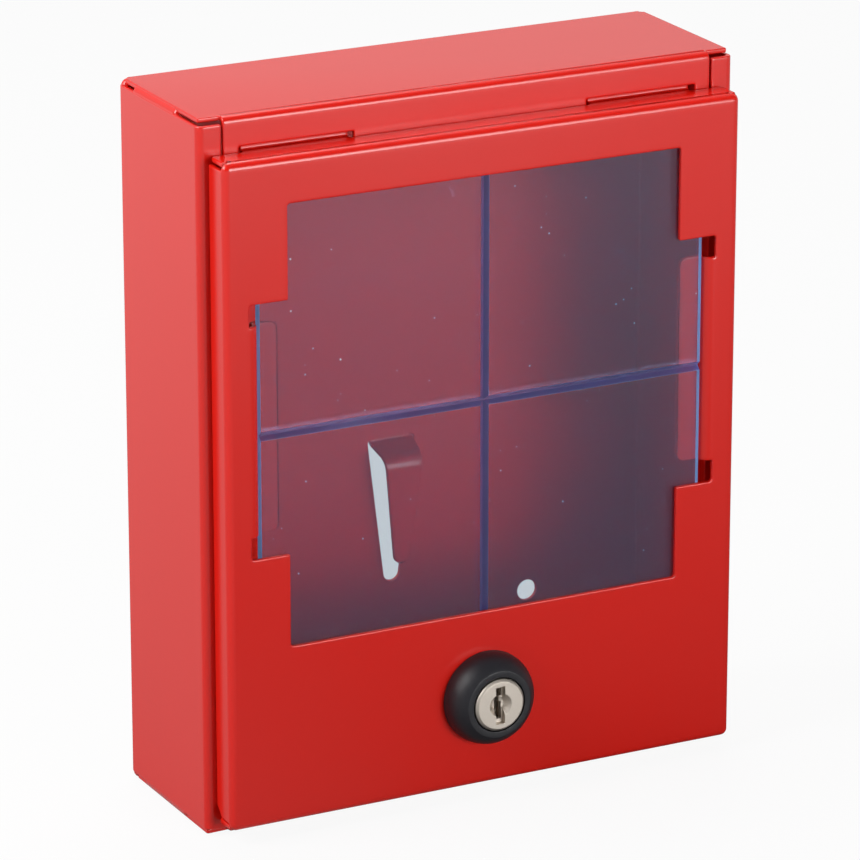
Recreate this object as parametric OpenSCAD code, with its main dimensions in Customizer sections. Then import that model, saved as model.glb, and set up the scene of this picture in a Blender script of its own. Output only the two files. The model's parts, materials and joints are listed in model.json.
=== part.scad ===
// Break glass key box: folded steel wall case, lift-up door with a breakable pane and a wafer cam lock
// X runs to the right, Y runs back to the wall, Z runs up; the origin is the centre of the back face

/* [Case] */
// Width of the case
case_w = 120; // [100:1:170]
// Height of the case
case_h = 150; // [120:1:210]
// Depth of the case from the wall to its front lips
case_d = 37.5; // [31:0.5:70]
// Thickness of the case sheet
case_sheet = 1; // [0.8:0.1:1.2]
// Outer radius of the folds of the case
case_fold_r = 1.6; // [1.4:0.1:2]
// Width of the lips down the two sides
side_lip = 5.1; // [4.5:0.1:8]
// Height of the lip along the bottom
bottom_lip = 10; // [8:0.5:13]
// Sheet left under each hinge slot in the top lip
slot_strip = 3; // [2:0.5:6]
// Slit between the top lip and a side lip
lip_seam = 0.4; // [0.2:0.1:0.8]
// How far the top and bottom panels stop short of the side faces
corner_inset = 0.7; // [0.5:0.1:1]
// Open gap between a side wall's end and the panel over it
corner_gap = 0.35; // [0.2:0.05:0.4]
// Radius of the corner weld bead
bead_r = 1.6; // [1.5:0.1:1.8]
// Length of the bead at the back corner
bead_back = 2.8; // [2:0.1:4]
// Where the long bead starts, from the wall
bead_start = 6.5; // [6:0.5:9]
// Where the long bead ends, from the wall
bead_end = 27; // [15:0.5:28]

/* [Wall fixing] */
// Diameter of the wall-screw holes
wall_hole_d = 4.5; // [4:0.1:6]
// Distance between the holes across the case
wall_hole_x = 65; // [50:1:80]
// Distance between the holes up the case
wall_hole_z = 98; // [80:1:106]

/* [Key hook] */
// Height of the root of the hook above the bottom of the case
hook_root_z = 64.2; // [55:0.1:75]
// Width of the hook at its root
hook_root_w = 10; // [8:0.1:14]
// Width of the hook at its tip
hook_tip_w = 3.7; // [3:0.1:5]
// Length of the hook before it is bent out
hook_length = 30.6; // [24:0.1:36]
// How far the hook stands out into the case
hook_out = 7.5; // [6:0.5:12]
// How far the arm of the hook drops on its way out
hook_drop = 2.3; // [1:0.1:4]
// Outer radius of the bend at the hook's knee
hook_knee_r = 3.5; // [2:0.1:4]
// How far the arm leans back to the wall at its tip
hook_lean = 1.7; // [0:0.1:2.5]
// Height of the tip above the bottom of its slot
hook_tip_up = 5.4; // [4:0.1:8]

/* [Door] */
// Depth of the door tray, front face to the edge of its returns
door_depth = 6.7; // [6.5:0.1:10]
// Gap between the returns and the lips of the case
door_gap = 0.3; // [0.2:0.1:0.6]
// Thickness of the door sheet
door_sheet = 1; // [0.8:0.1:1.2]
// Outer radius of the folds of the door
door_fold_r = 1.5; // [1.3:0.1:2]
// Case left showing beside the door on each side
reveal_side = 2.2; // [1.5:0.1:4]
// Case left showing above the door
reveal_top = 7.4; // [7.4:0.1:10]
// Case left showing below the door
reveal_bottom = 3.1; // [2:0.1:5]
// Slit between neighbouring returns at the corners
return_slit = 0.35; // [0.2:0.05:0.6]
// Corner radius of the top and bottom returns
return_r = 1.2; // [0.6:0.1:2]
// Cut across the lower back corners of the side returns
return_cut = 2.3; // [1:0.1:3]

/* [Hinge] */
// Length of each hinge slot in the top lip
slot_w = 25; // [20:1:34]
// Distance of each slot's outer end from the side of the case
slot_from_side = 8.9; // [8:0.1:14]
// Top edge of the hinge slots above the top of the door
slot_rise = 1.1; // [1.1:0.1:1.6]
// Gap between the ends of a hinge tab and its slot
tab_side_gap = 0.8; // [0.4:0.1:1.5]
// Gap between the upturned tab and the back of the lip
tab_back_gap = 0.3; // [0.3:0.05:0.5]
// Gap under the rounded heel of the tab as it turns in the slot
tab_heel_gap = 0.2; // [0.15:0.05:0.5]
// Room left above the upturned tab
tab_top_room = 2; // [1:0.5:3]

/* [Window] */
// Door sheet above the window
window_top = 9.6; // [8:0.1:16]
// Door sheet below the window
window_bottom = 37.8; // [36:0.1:44]
// Door sheet beside the window
window_side = 13.7; // [12:0.1:20]
// Height of the two wings of the window
wing_h = 52.9; // [40:0.1:58]
// Height of each relief slot over and under a tongue
relief_h = 4.55; // [3:0.05:6]
// Corner radius of the window
window_r = 0.7; // [0.3:0.1:2]

/* [Pane] */
// Thickness of the pane
pane_t = 2; // [2:0.1:4]
// How far the pane reaches past the window on each side
pane_side = 5.8; // [5:0.1:7]
// How far the pane reaches above the window
pane_top = 5.3; // [4:0.1:7]
// Gap round the pane's faces
pane_gap = 0.1; // [0.05:0.05:0.2]
// Gap between the pane's edges and what stops them
pane_edge_gap = 0.3; // [0.2:0.1:0.4]
// Gap between the pane and the nut that it stands over
pane_foot_gap = 0.2; // [0.1:0.1:0.5]
// Width of the V grooves
groove_w = 1.9; // [1:0.1:2.4]
// How far a tongue reaches behind the pane
tongue_reach = 4.5; // [3:0.1:6]
// Corner radius of a tongue
tongue_r = 2; // [1:0.1:3]
// Outer radius of the fold from the door face into a tongue
tongue_fold_r = 2.4; // [2:0.1:2.8]

/* [Lock] */
// Height of the lock's axis above the bottom of the case
lock_up = 22.5; // [21:0.1:27]
// Thickness of the rosette's skirt at the door
rosette_skirt = 1.4; // [1.2:0.1:3]
// Height of the rosette
rosette_h = 5.9; // [5.5:0.1:7]
// Width of the flat ring on the rosette's front
rosette_flat_w = 1.3; // [0.8:0.1:2]
// Thickness of the rosette's front wall
rosette_wall = 1.5; // [1:0.1:2]
// How far the rosette's side swells beyond a straight cone
rosette_bow = 0.8; // [0.3:0.1:1.1]
// Radius of the core
core_r = 5.55; // [4.7:0.05:6.9]
// How far the core's face stands in front of the rosette
core_proud = 0.5; // [0.2:0.1:1]
// Chamfer of the core's rim
core_chamfer = 0.5; // [0.2:0.1:0.8]
// Clearance round the core in the housing
core_fit = 0.05; // [0.02:0.01:0.08]
// Wall of the housing's barrel round the core
barrel_wall = 2.25; // [2:0.05:2.5]
// Depth of each flat on the barrel
barrel_flat = 1; // [0.6:0.1:1.2]
// Length of the barrel behind the door's face
barrel_l = 11.5; // [11.5:0.5:14]
// How far the head stands out round the barrel
head_step = 0.5; // [0.4:0.1:1]
// Wall of the fixing nut at its flats
nut_wall = 2.5; // [1.5:0.1:3]
// Thickness of the fixing nut
nut_t = 3; // [2.5:0.1:3.5]
// Thickness of the toothed washer
tooth_washer_t = 0.8; // [0.5:0.1:1]
// Height of the keyway in the core's face
keyway_h = 8.1; // [7:0.1:8.6]
// Width of the keyway in the core's face
keyway_w = 2; // [1.6:0.1:2.4]
// Spacing of the wafers
wafer_pitch = 2.2; // [2.2:0.05:2.3]
// Thickness of a wafer
wafer_t = 0.9; // [0.7:0.05:0.95]
// Width of a wafer
wafer_w = 5; // [4.6:0.1:5.2]

/* [Cam] */
// Thickness of the cam
cam_t = 2; // [1.5:0.1:2.2]
// Width of the cam
cam_w = 12; // [10:0.5:12]
// Room under the cam's tip when it points down
cam_floor_gap = 3; // [1:0.1:5]
// Gap between the cam and the bottom lip when it is locked
cam_lip_gap = 0.3; // [0.2:0.1:0.5]
// Distance of the cam's crank from the lock's axis
crank_r = 11.5; // [11:0.1:12]
// Width across the square tail of the core
tail_sq = 6.4; // [5.5:0.1:7]
// Radius of the cam screw's thread
screw_r = 2; // [1.5:0.25:2]
// Radius of the cam screw's head
screw_head_r = 4; // [3.5:0.1:4.5]
// Height of the cam screw's head
screw_head_h = 2.4; // [2:0.1:3]

/* [Hidden] */
$fn = 64;

paint = [0.83, 0.13, 0.11];
clear = [0.75, 0.80, 0.88, 0.45];
black = [0.10, 0.10, 0.11];
nickel = [0.78, 0.74, 0.69];
zinc = [0.62, 0.62, 0.63];
brass = [0.78, 0.64, 0.33];
steel = [0.68, 0.69, 0.71];

// Steps in each drawn fold
fold_steps = 8;
// Overlap that joins two solids of one piece
join = 0.05;
// How far a cut runs past the surface that it opens
past = 1;

// Case: middle lines of its sheets
side_mid = case_w / 2 - case_sheet / 2;
front_mid = -(case_d - case_sheet / 2);
back_mid = -case_sheet / 2;
floor_mid = case_sheet / 2;
roof_mid = case_h - case_sheet / 2;
case_fold_mid = case_fold_r - case_sheet / 2;
lip_in = case_w / 2 - side_lip;
corner_drop = case_sheet + corner_gap;

// Door: planes and edges
door_back_y = -(case_d + door_gap);
door_front_y = door_back_y - door_depth;
door_mid_y = door_front_y + door_sheet / 2;
door_inner_y = door_front_y + door_sheet;
door_half = case_w / 2 - reveal_side;
door_top = case_h - reveal_top;
door_fold_mid = door_fold_r - door_sheet / 2;
return_end = door_half - return_slit;
side_return_low = reveal_bottom + door_sheet + return_slit;
side_return_high = door_top - door_sheet - return_slit;

// Hinge: the axis lies on the slot's top edge, half way through the lip
slot_top = door_top + slot_rise;
slot_out = case_w / 2 - slot_from_side;
slot_in = slot_out - slot_w;
tab_mid_y = front_mid + case_sheet / 2 + tab_back_gap + door_sheet / 2;
heel_y = tab_mid_y - door_fold_mid - front_mid;
heel_z = slot_rise + door_sheet - door_fold_r;
heel_sweep = norm([heel_y, heel_z]) + door_fold_r;
slot_low = slot_top - heel_sweep - tab_heel_gap;
top_lip_low = slot_low - slot_strip;
tab_top = case_h - case_sheet - tab_top_room;

// Window and pane
window_half = door_half - window_side;
window_high = door_top - window_top;
window_low = reveal_bottom + window_bottom;
window_mid = (window_high + window_low) / 2;
pane_half = window_half + pane_side;
pane_front_y = door_inner_y + pane_gap;
pane_back_y = pane_front_y + pane_t;
pane_high = window_high + pane_top;
barrel_r = core_r + core_fit + barrel_wall;
nut_flats = 2 * (barrel_r + nut_wall);
pane_low = lock_up + nut_flats / 2 + pane_foot_gap;
pane_mid = (pane_high + pane_low) / 2;
tongue_wall_in = pane_half + pane_edge_gap;
wing_half = tongue_wall_in + tongue_fold_r;
tongue_tip = pane_half - tongue_reach;
tongue_mid_y = pane_back_y + pane_gap + door_sheet / 2;
tongue_low = window_mid - wing_h / 2 + relief_h;
tongue_high = window_mid + wing_h / 2 - relief_h;
tongue_inner_fold = 0.2;

// Lock: stations along its axis, from the front
face_y = door_front_y - rosette_h - core_proud;
head_gap = 0.1;
head_r = barrel_r + head_step;
head_y = door_front_y - rosette_h + rosette_wall + head_gap;
rosette_r = head_r + head_gap + rosette_skirt;
rosette_rim = 0.5;
rosette_bore = core_r + 0.3;
rosette_flat_r = rosette_bore + rosette_flat_w;
barrel_back_y = door_front_y + barrel_l;
bore_r = core_r + core_fit;
barrel_gap = 0.05;
door_hole_gap = 0.1;
barrel_flats = 2 * (barrel_r - barrel_flat);
broach_depth = 0.9;
broach_front = 1.5;
broach_side = 0.3;

// Keyway: the wide mouth, the round recess, and the slot with its ward
keyway_face_depth = 1.3;
finger_r = 2.5;
finger_back_r = 1.3;
finger_depth = 1.5;
key_slot_w = 1.5;
key_slot_h = 6.6;
ward = 0.5;
ward_up = 1.65;
ward_h = 1.3;

// Wafers, each with a lug that stands on its spring
first_wafer_y = face_y + 3.2;
wafer_count = 5;
last_wafer_y = first_wafer_y + (wafer_count - 1) * wafer_pitch;
key_slot_back_y = last_wafer_y + 1.7;
wafer_play = 0.05;
wafer_side_play = 0.1;
wafer_end_gap = 0.2;
wafer_cuts = [0.5, -0.3, 0.2, -0.6, 0.4];
wafer_window_w = 2.6;
wafer_window_h = 6.8;
lug_w = 1.3;
lug_h = 1;
lug_up = 1.7;
spring_r = 0.45;
spring_wire_r = 0.1;
spring_turns = 5;
spring_sides = 5;
spring_steps = 8;
spring_gap = 0.05;
pocket_low = -2.6;
pocket_t = 1.3;
pocket_w = 1.5;

// Clip, stop disc, cam and screw
clip_t = 0.8;
clip_gap = 0.05;
clip_r = bore_r + 0.45;
groove_r = core_r - 0.8;
groove_land = 0.45;
clip_y = barrel_back_y + clip_gap;
shoulder_y = clip_y + clip_t + groove_land;
stop_t = 1;
stop_r = barrel_r - 0.4;
stop_lug_in = clip_r + 0.3;
stop_lug_angle = 30;
stop_lug_l = 1.9;
stop_turn = 90;
stop_play = 1;
stop_lug_mid = 135;
stop_notch_gap = 0.3;
stop_notch_y = shoulder_y - stop_lug_l - stop_notch_gap;
stop_notch_high = stop_lug_mid + stop_lug_angle / 2 + stop_play;
stop_notch_low = stop_lug_mid - stop_turn - stop_lug_angle / 2 - stop_play;
cam_y = shoulder_y + stop_t;
cam_back_y = cam_y + cam_t;
cam_l = lock_up - case_sheet - cam_floor_gap;
cam_corner_r = 2;
cam_tip_y = -(case_d - case_sheet) + cam_lip_gap;
crank_fold = 1.4;
tail_short = 0.1;
tail_back_y = cam_back_y - tail_short;
tail_gap = 0.05;
cam_washer_t = 0.8;
cam_washer_r = 4.3;
washer_bore_gap = 0.15;
washer_split = 0.7;
screw_gap = 0.03;
screw_hole_l = 7;
screw_l = 6;
cross_w = 0.9;
cross_l = 4.6;
cross_depth = 1.3;

// Unit vector along v
function unit(v) = v / norm(v);
// Vector v turned by an angle
function turned(v, a) = [v[0] * cos(a) - v[1] * sin(a), v[0] * sin(a) + v[1] * cos(a)];
// Signed turn from direction a to direction b
function turn_between(a, b) = atan2(a[0] * b[1] - a[1] * b[0], a[0] * b[0] + a[1] * b[1]);
// Points and left-hand normals round the fold at b, between the legs a-b and b-c
function fold_at(a, b, c, r) =
    let (along = unit(b - a), normal = turned(along, 90), phi = turn_between(along, unit(c - b)))
    let (side = sign(phi), start = b - along * r * tan(abs(phi) / 2), centre = start + normal * r * side)
    [for (i = [0 : fold_steps])
        let (n = turned(normal, phi * i / fold_steps))
        [centre - n * r * side, n]];
// Middle line of a folded sheet, as pairs of a point and a normal
function sheet_line(p, radii) =
    let (last = len(p) - 1)
    concat(
        [[p[0], turned(unit(p[1] - p[0]), 90)]],
        [for (k = [1 : last - 1]) each fold_at(p[k - 1], p[k], p[k + 1], radii[k - 1])],
        [[p[last], turned(unit(p[last] - p[last - 1]), 90)]]);

// Section of a folded sheet of thickness t along the corners p
module folded(p, radii, t) {
    line = sheet_line(p, radii);
    left = [for (e = line) e[0] + e[1] * t / 2];
    right = [for (i = [len(line) - 1 : -1 : 0]) line[i][0] - line[i][1] * t / 2];
    polygon(concat(left, right));
}

// Rectangle with round corners, given by its two opposite corners
module round_rect(low, high, r) {
    translate([low[0] + r, low[1]]) square([high[0] - low[0] - 2 * r, high[1] - low[1]]);
    translate([low[0], low[1] + r]) square([high[0] - low[0], high[1] - low[1] - 2 * r]);
    for (x = [low[0] + r, high[0] - r], y = [low[1] + r, high[1] - r])
        translate([x, y]) circle(r);
}

// Pie slice of a disc between two angles
module sector(r, a0, a1) {
    steps = 24;
    arc = [for (i = [0 : steps]) let (a = a0 + (a1 - a0) * i / steps) [r * cos(a), r * sin(a)]];
    polygon(concat([[0, 0]], arc));
}

// Flat shape in X and Z, carried along Y
module between_y(y0, y1) translate([0, y1, 0]) rotate([90, 0, 0]) linear_extrude(y1 - y0) children();
// Flat shape in Y and Z, carried along X
module between_x(x0, x1) translate([x0, 0, 0]) rotate([90, 0, 90]) linear_extrude(x1 - x0) children();
// Flat shape in X and Y, carried along Z
module between_z(z0, z1) translate([0, 0, z0]) linear_extrude(z1 - z0) children();
// Children and their mirror image across the middle of the case
module both_sides() {
    children();
    mirror([1, 0, 0]) children();
}
// Heights in the modules are counted from the bottom of the case
module from_bottom() translate([0, 0, -case_h / 2]) children();
// The lock's axis runs along the local Z, with the face of the core at the low end
module on_lock(y) from_bottom() translate([0, y, lock_up]) rotate([-90, 0, 0]) children();

// Case: back, side walls and side lips in one folded band
module side_band() between_z(corner_drop, case_h - corner_drop)
    folded([[-lip_in, front_mid], [-side_mid, front_mid], [-side_mid, back_mid],
            [side_mid, back_mid], [side_mid, front_mid], [lip_in, front_mid]],
        [for (i = [0 : 3]) case_fold_mid], case_sheet);

// Case: floor, back, roof and the two cross lips in one folded band
module cross_band() between_x(-lip_in + lip_seam, lip_in - lip_seam)
    folded([[front_mid, bottom_lip], [front_mid, floor_mid], [back_mid, floor_mid],
            [back_mid, roof_mid], [front_mid, roof_mid], [front_mid, top_lip_low]],
        [for (i = [0 : 3]) case_fold_mid], case_sheet);

// Case: the ends of floor and roof that lie over the side walls
module panel_ends() between_x(-case_w / 2 + corner_inset, case_w / 2 - corner_inset)
    folded([[-case_d + case_fold_r, floor_mid], [back_mid, floor_mid],
            [back_mid, roof_mid], [-case_d + case_fold_r, roof_mid]],
        [case_fold_mid, case_fold_mid], case_sheet);

// Weld beads along one upper corner
module corner_beads() for (run = [[bead_back, case_sheet / 2], [bead_end, bead_start]])
    between_y(-run[0], -run[1])
        translate([case_w / 2 - bead_r, case_h - bead_r]) intersection() {
            circle(bead_r);
            square(bead_r);
        }

// Outline of the slot that the hook leaves in the back
module hook_slot() {
    low = hook_root_z - hook_length + hook_tip_w / 2;
    polygon([[-hook_root_w / 2, hook_root_z], [-hook_tip_w / 2, low], [hook_tip_w / 2, low],
        [hook_root_w / 2, hook_root_z]]);
    translate([0, low]) circle(hook_tip_w / 2);
}

// Key hook, bent out of the back wall
module key_hook() {
    root = hook_root_z + case_sheet / 2;
    tip = hook_root_z - hook_length + hook_tip_up;
    arm = norm([hook_out, hook_drop]) / hook_length;
    knee_w = hook_root_w - (hook_root_w - hook_tip_w) * arm;
    plate = -hook_out + case_sheet / 2;
    back_top = root + 2 * case_fold_r;
    intersection() {
        between_x(-hook_root_w / 2, hook_root_w / 2)
            folded([[back_mid, back_top], [back_mid, root], [plate, root - hook_drop],
                    [plate + hook_lean, tip]],
                [case_fold_mid, hook_knee_r - case_sheet / 2], case_sheet);
        between_y(-hook_out - past, 0) {
            polygon([[-hook_root_w / 2, back_top], [-hook_root_w / 2, hook_root_z],
                [-knee_w / 2, root - hook_drop], [-hook_tip_w / 2, tip + hook_tip_w / 2],
                [hook_tip_w / 2, tip + hook_tip_w / 2], [knee_w / 2, root - hook_drop],
                [hook_root_w / 2, hook_root_z], [hook_root_w / 2, back_top]]);
            translate([0, tip + hook_tip_w / 2]) circle(hook_tip_w / 2);
        }
    }
}

module case_shell() color(paint) from_bottom() {
    difference() {
        union() {
            side_band();
            cross_band();
            panel_ends();
            both_sides() {
                corner_beads();
                translate([0, 0, case_h]) mirror([0, 0, 1]) corner_beads();
            }
        }
        both_sides()
            between_y(-case_d - past, -case_d + case_sheet + past)
                translate([slot_in, slot_low]) square([slot_w, slot_top - slot_low]);
        for (x = [-1, 1], z = [-1, 1])
            translate([x * wall_hole_x / 2, past, case_h / 2 + z * wall_hole_z / 2])
                rotate([90, 0, 0]) cylinder(h = case_sheet + 2 * past, d = wall_hole_d);
        between_y(-case_sheet - past, past) hook_slot();
    }
    key_hook();
}

// Outline of the break-glass window: a main opening and two side wings
module window_shape() {
    round_rect([-window_half, window_low], [window_half, window_high], window_r);
    round_rect([-wing_half, window_mid - wing_h / 2], [wing_half, window_mid + wing_h / 2], window_r);
}

// Tongue that is folded back through a wing and holds one edge of the pane
module tongue() {
    wall_mid = tongue_wall_in + door_sheet / 2;
    root = wing_half + door_sheet;
    intersection() {
        between_z(tongue_low, tongue_high)
            folded([[root, door_mid_y], [wall_mid, door_mid_y],
                    [wall_mid, tongue_mid_y], [tongue_tip, tongue_mid_y]],
                [tongue_fold_r - door_sheet / 2, tongue_inner_fold + door_sheet / 2], door_sheet);
        between_y(door_front_y - past, door_back_y)
            round_rect([tongue_tip, tongue_low], [root + tongue_r + past, tongue_high], tongue_r);
    }
}

// Hinge tab: runs back through its slot and turns up behind the lip
module hinge_tab() between_x(slot_in + tab_side_gap, slot_out - tab_side_gap)
    folded([[door_back_y - door_sheet, door_top - door_sheet / 2], [tab_mid_y, door_top - door_sheet / 2],
            [tab_mid_y, tab_top]], [door_fold_mid], door_sheet);

// Top or bottom return behind its fold, with rounded back corners
module end_return(z) between_z(z, z + door_sheet) {
    front = door_front_y + door_fold_r - join;
    round_rect([-return_end, front], [return_end, door_back_y], return_r);
    translate([-return_end, front]) square([2 * return_end, return_r]);
}

module door_tray() {
    between_z(side_return_low, side_return_high)
        folded([[-door_half + door_sheet / 2, door_back_y], [-door_half + door_sheet / 2, door_mid_y],
                [door_half - door_sheet / 2, door_mid_y], [door_half - door_sheet / 2, door_back_y]],
            [door_fold_mid, door_fold_mid], door_sheet);
    between_x(-door_half + door_fold_r, door_half - door_fold_r)
        folded([[door_front_y + door_fold_r, reveal_bottom + door_sheet / 2],
                [door_mid_y, reveal_bottom + door_sheet / 2],
                [door_mid_y, door_top - door_sheet / 2],
                [door_front_y + door_fold_r, door_top - door_sheet / 2]],
            [door_fold_mid, door_fold_mid], door_sheet);
    end_return(reveal_bottom);
    end_return(door_top - door_sheet);
    // round front corners
    intersection() {
        for (x = [-1, 1], z = [reveal_bottom + door_fold_r, door_top - door_fold_r])
            translate([x * (door_half - door_fold_r), door_front_y + door_fold_r, z]) sphere(door_fold_r);
        translate([-door_half, door_front_y, reveal_bottom])
            cube([2 * door_half, door_fold_r + join, door_top - reveal_bottom]);
    }
}

module door() color(paint) from_bottom() {
    difference() {
        door_tray();
        between_y(door_front_y - past, door_inner_y + past) {
            window_shape();
            translate([0, lock_up]) intersection() {
                circle(barrel_r + door_hole_gap);
                square([barrel_flats + 2 * door_hole_gap, 3 * barrel_r], center = true);
            }
        }
        // lower back corners of the side returns
        between_x(-door_half - past, door_half + past)
            polygon([[door_back_y - return_cut, side_return_low - join],
                [door_back_y + past, side_return_low - join],
                [door_back_y + past, side_return_low + return_cut + past]]);
    }
    both_sides() {
        tongue();
        hinge_tab();
    }
}

module breakable_pane() color(clear) from_bottom() difference() {
    between_y(pane_front_y, pane_back_y)
        translate([-pane_half, pane_low]) square([2 * pane_half, pane_high - pane_low]);
    wide = groove_w / 2 + past;
    between_x(-pane_half - past, pane_half + past)
        polygon([[pane_front_y - past, pane_mid - wide], [pane_front_y + groove_w / 2, pane_mid],
            [pane_front_y - past, pane_mid + wide]]);
    between_z(pane_low - past, pane_high + past)
        polygon([[-wide, pane_front_y - past], [0, pane_front_y + groove_w / 2],
            [wide, pane_front_y - past]]);
}

// Curve from p to q that bows out by the given rise
function bowed(p, q, rise) =
    let (out = turned(unit(q - p), -90), steps = 12)
    [for (i = [0 : steps]) let (s = i / steps) p * (1 - s) + q * s + out * 4 * rise * s * (1 - s)];

module lock_rosette() color(black) on_lock(door_front_y) mirror([0, 0, 1])
    rotate_extrude() polygon(concat(
        [[head_r + head_gap, 0], [rosette_r, 0]],
        bowed([rosette_r, rosette_rim], [rosette_flat_r, rosette_h], rosette_bow),
        [[rosette_bore, rosette_h], [rosette_bore, rosette_h - rosette_wall],
         [head_r + head_gap, rosette_h - rosette_wall]]));

module lock_housing() color(zinc) difference() {
    union() {
        on_lock(head_y) cylinder(h = door_front_y - head_y, r = head_r);
        on_lock(door_front_y - join) intersection() {
            cylinder(h = barrel_l + join, r = barrel_r);
            translate([-barrel_flats / 2, -barrel_r, 0]) cube([barrel_flats, 2 * barrel_r, barrel_l + join]);
        }
    }
    on_lock(head_y - past) cylinder(h = barrel_back_y - head_y + 2 * past, r = bore_r);
    // grooves above and below, where the wafers stand out when the key is drawn
    on_lock(head_y + broach_front) for (s = [-1, 1])
        translate([-wafer_w / 2 - broach_side, s * bore_r - broach_depth, 0])
            cube([wafer_w + 2 * broach_side, 2 * broach_depth, key_slot_back_y - head_y]);
    // notch that stops the disc's lug at both ends of its turn
    on_lock(stop_notch_y) linear_extrude(stop_lug_l + past) difference() {
        sector(barrel_r + past, -stop_notch_high, -stop_notch_low);
        circle(stop_lug_in - stop_notch_gap);
    }
}

module lock_core() color(nickel) difference() {
    union() {
        on_lock(face_y) cylinder(h = core_chamfer, r1 = core_r - core_chamfer, r2 = core_r);
        on_lock(face_y + core_chamfer) cylinder(h = shoulder_y - face_y - core_chamfer, r = core_r);
        on_lock(shoulder_y - join) translate([-tail_sq / 2, -tail_sq / 2, 0])
            cube([tail_sq, tail_sq, tail_back_y - shoulder_y + join]);
    }
    // groove for the retaining clip
    on_lock(clip_y) difference() {
        cylinder(h = clip_t + clip_gap, r = core_r + past);
        cylinder(h = clip_t + clip_gap, r = groove_r);
    }
    // finger recess and the open mouth of the keyway
    on_lock(face_y) cylinder(h = finger_depth, r1 = finger_r, r2 = finger_back_r);
    on_lock(face_y - past) translate([-keyway_w / 2, -keyway_h / 2, 0])
        cube([keyway_w, keyway_h, keyway_face_depth + past]);
    // key slot with one ward
    on_lock(face_y) difference() {
        translate([-key_slot_w / 2, -key_slot_h / 2, 0])
            cube([key_slot_w, key_slot_h, key_slot_back_y - face_y]);
        translate([key_slot_w / 2 - ward, -ward_up, keyway_face_depth])
            cube([ward + past, ward_h, key_slot_back_y - face_y]);
    }
    // slots for the wafers, and the pockets of their springs
    for (i = [0 : wafer_count - 1]) on_lock(first_wafer_y + i * wafer_pitch) {
        cut_t = wafer_t + 2 * wafer_play;
        cut_w = wafer_w + 2 * wafer_side_play;
        translate([-cut_w / 2, -core_r - past, -cut_t / 2]) cube([cut_w, 2 * (core_r + past), cut_t]);
        translate([wafer_w / 2 - wafer_side_play, -core_r - past, -pocket_t / 2])
            cube([pocket_w, core_r + past - pocket_low, pocket_t]);
    }
    // tapped hole for the cam screw
    on_lock(tail_back_y - screw_hole_l) cylinder(h = screw_hole_l + past, r = screw_r + screw_gap);
}

// One wafer, drawn in as it stands with the key in the lock
module wafer(i) color(brass) on_lock(first_wafer_y + (i - 1) * wafer_pitch - wafer_t / 2) {
    linear_extrude(wafer_t) difference() {
        intersection() {
            circle(core_r - wafer_end_gap);
            square([wafer_w, 2 * core_r], center = true);
        }
        translate([-wafer_window_w / 2, -wafer_window_h / 2 + wafer_cuts[i - 1]])
            square([wafer_window_w, wafer_window_h]);
    }
    translate([wafer_w / 2 - join, -lug_up - lug_h, 0]) cube([lug_w, lug_h, wafer_t]);
}

// Centre line of a wafer spring and one ring of wire round it
function coil_point(s) = [spring_r * cos(360 * spring_turns * s), spring_r * sin(360 * spring_turns * s)];
function wire_ring(s, length) = [for (k = [0 : spring_sides - 1])
    let (a = 360 * k / spring_sides, p = coil_point(s) * (1 + spring_wire_r * cos(a) / spring_r))
    [p[0], p[1], spring_wire_r + (length - 2 * spring_wire_r) * s + spring_wire_r * sin(a)]];

// Coil spring that lifts one wafer, standing in its pocket beside it
module wafer_spring(i) color(steel) {
    length = lug_up - pocket_low - 2 * spring_gap;
    rings = spring_turns * spring_steps;
    points = [for (j = [0 : rings]) each wire_ring(j / rings, length)];
    walls = [for (j = [0 : rings - 1], k = [0 : spring_sides - 1])
        let (a = j * spring_sides + k, b = j * spring_sides + (k + 1) % spring_sides)
        each [[a, b, b + spring_sides], [a, b + spring_sides, a + spring_sides]]];
    low_cap = [for (k = [1 : spring_sides - 2]) [0, k + 1, k]];
    high_cap = [for (k = [1 : spring_sides - 2])
        [rings * spring_sides, rings * spring_sides + k, rings * spring_sides + k + 1]];
    on_lock(first_wafer_y + (i - 1) * wafer_pitch)
        translate([wafer_w / 2 + lug_w / 2, -pocket_low - spring_gap, 0]) rotate([90, 0, 0])
            polyhedron(points, concat(walls, low_cap, high_cap));
}

module core_clip() color(steel) on_lock(clip_y) linear_extrude(clip_t) difference() {
    circle(clip_r);
    circle(groove_r + clip_gap);
    translate([0, -groove_r / 2]) square([2 * clip_r, groove_r]);
}

module tooth_washer() color(steel) from_bottom() between_y(door_inner_y, door_inner_y + tooth_washer_t)
    translate([0, lock_up]) difference() {
        teeth = 15;
        tooth_w = 1.4;
        tooth_l = 0.7;
        ring_w = 1.4;
        union() {
            circle(barrel_r + ring_w);
            for (i = [1 : teeth]) rotate(360 * i / teeth) translate([0, -tooth_w / 2])
                square([barrel_r + ring_w + tooth_l, tooth_w]);
        }
        circle(barrel_r + 3 * barrel_gap);
    }

module lock_nut() color(zinc) on_lock(door_inner_y + tooth_washer_t) difference() {
    cylinder(h = nut_t, d = nut_flats / cos(30), $fn = 6);
    translate([0, 0, -past]) cylinder(h = nut_t + 2 * past, r = barrel_r + barrel_gap);
}

module tail_hole() square(tail_sq + 2 * tail_gap, center = true);

module stop_disc() color(steel) {
    on_lock(shoulder_y) linear_extrude(stop_t) difference() {
        circle(stop_r);
        tail_hole();
    }
    on_lock(shoulder_y - stop_lug_l + join) linear_extrude(stop_lug_l) intersection() {
        sector(stop_r + past, -stop_lug_mid - stop_lug_angle / 2, -stop_lug_mid + stop_lug_angle / 2);
        difference() {
            circle(stop_r);
            circle(stop_lug_in);
        }
    }
}

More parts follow.
